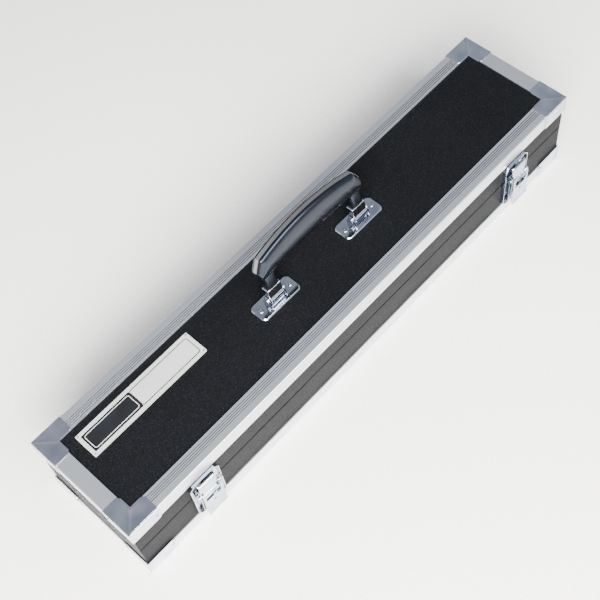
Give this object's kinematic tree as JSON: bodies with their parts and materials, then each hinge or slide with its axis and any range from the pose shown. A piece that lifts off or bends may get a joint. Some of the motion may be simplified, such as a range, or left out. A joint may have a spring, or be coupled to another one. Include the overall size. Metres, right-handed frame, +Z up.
{
  "type": "knife case",
  "caption": "Long slim hard case for kitchen knives: dark boards in metal edge trim with pressed corner caps, a folding carry handle, draw latches and a back-hinged lid over foam rests.",
  "frame": {"origin": "on the floor under the middle of the case body, halfway between its corner caps", "axes": "+X along the case, -Y out of the latch side, +Z up"},
  "size_m": [0.501, 0.1198, 0.1405],
  "materials": {
    "laminate_board": "black leather-grain vinyl laminate on plywood",
    "edge_trim": "brushed, bright rounded edges",
    "corner_cap": "nickel-plated pressed sheet",
    "nail": "dulled",
    "name_plate": "satin border, black and silver fields",
    "rivet": "plated",
    "rim_strip": "black paper-covered strip",
    "foam": "black foam",
    "grip": "black, semi-matt",
    "grip_strip": "silver-grey strip",
    "hinge": "plated",
    "handle_metal": "polished",
    "latch": "polished"
  },
  "bodies": {
    "base": {"base_bottom_board": "laminate_board", "base_front_board": "laminate_board", "base_back_board": "laminate_board", "base_left_board": "laminate_board", "base_right_board": "laminate_board", "base_front_trim": "edge_trim", "base_back_trim": "edge_trim", "base_left_trim": "edge_trim", "base_right_trim": "edge_trim", "base_cap_front_left": "corner_cap", "base_cap_front_right": "corner_cap", "base_cap_back_left": "corner_cap", "base_cap_back_right": "corner_cap", "base_trim_nails": "nail", "inner_rim": "rim_strip", "base_floor_pad": "foam", "blade_rest": "foam", "handle_rest": "foam", "latch_left_base_plate": "latch", "latch_right_base_plate": "latch", "latch_pivot_pins": "latch", "hinge_left_base_leaf": "hinge", "hinge_right_base_leaf": "hinge", "hinge_pins": "hinge", "base_rivets": "rivet"},
    "lid": {"lid_top_board": "laminate_board", "lid_front_board": "laminate_board", "lid_back_board": "laminate_board", "lid_left_board": "laminate_board", "lid_right_board": "laminate_board", "lid_front_trim": "edge_trim", "lid_back_trim": "edge_trim", "lid_left_trim": "edge_trim", "lid_right_trim": "edge_trim", "lid_cap_front_left": "corner_cap", "lid_cap_front_right": "corner_cap", "lid_cap_back_left": "corner_cap", "lid_cap_back_right": "corner_cap", "lid_trim_nails": "nail", "lid_pad": "foam", "name_plate": "name_plate", "name_plate_pins": "rivet", "handle_left_bracket": "handle_metal", "handle_right_bracket": "handle_metal", "handle_pins": "handle_metal", "latch_left_keeper": "latch", "latch_right_keeper": "latch", "hinge_left_lid_leaf": "hinge", "hinge_right_lid_leaf": "hinge", "lid_rivets": "rivet"},
    "handle": {"handle_grip": "grip", "handle_strip": "grip_strip", "handle_left_lug": "handle_metal", "handle_right_lug": "handle_metal"},
    "latch_left_lever": {"latch_left_lever": "latch", "latch_left_claw_pin": "latch"},
    "latch_left_claw": {"latch_left_claw": "latch"},
    "latch_right_lever": {"latch_right_lever": "latch", "latch_right_claw_pin": "latch"},
    "latch_right_claw": {"latch_right_claw": "latch"}
  },
  "joints": [
    {"name": "lid_hinge", "type": "hinge", "parent": "base", "child": "lid", "pos_m": [0, 0.055, 0.0445], "axis": [-1, 0, 0], "range_deg": [0, 105]},
    {"name": "handle_pivot", "type": "hinge", "parent": "lid", "child": "handle", "pos_m": [0.0015, 0, 0.0886], "axis": [1, 0, 0], "range_deg": [-78, 101]},
    {"name": "latch_left_lever_hinge", "type": "hinge", "parent": "base", "child": "latch_left_lever", "pos_m": [-0.1824, -0.0574, 0.049], "axis": [-1, 0, 0], "range_deg": [0, 90]},
    {"name": "latch_left_claw_hinge", "type": "hinge", "parent": "latch_left_lever", "child": "latch_left_claw", "pos_m": [-0.1824, -0.0562, 0.042], "axis": [-1, 0, 0], "range_deg": [-104, 0.5]},
    {"name": "latch_right_lever_hinge", "type": "hinge", "parent": "base", "child": "latch_right_lever", "pos_m": [0.1824, -0.0574, 0.049], "axis": [-1, 0, 0], "range_deg": [0, 90]},
    {"name": "latch_right_claw_hinge", "type": "hinge", "parent": "latch_right_lever", "child": "latch_right_claw", "pos_m": [0.1824, -0.0562, 0.042], "axis": [-1, 0, 0], "range_deg": [-104, 0.5]}
  ],
  "couplings": [
    {"joint": "latch_left_claw_hinge", "follows": "latch_left_lever_hinge", "ratio": -1.15},
    {"joint": "latch_right_claw_hinge", "follows": "latch_right_lever_hinge", "ratio": -1.15}
  ]
}
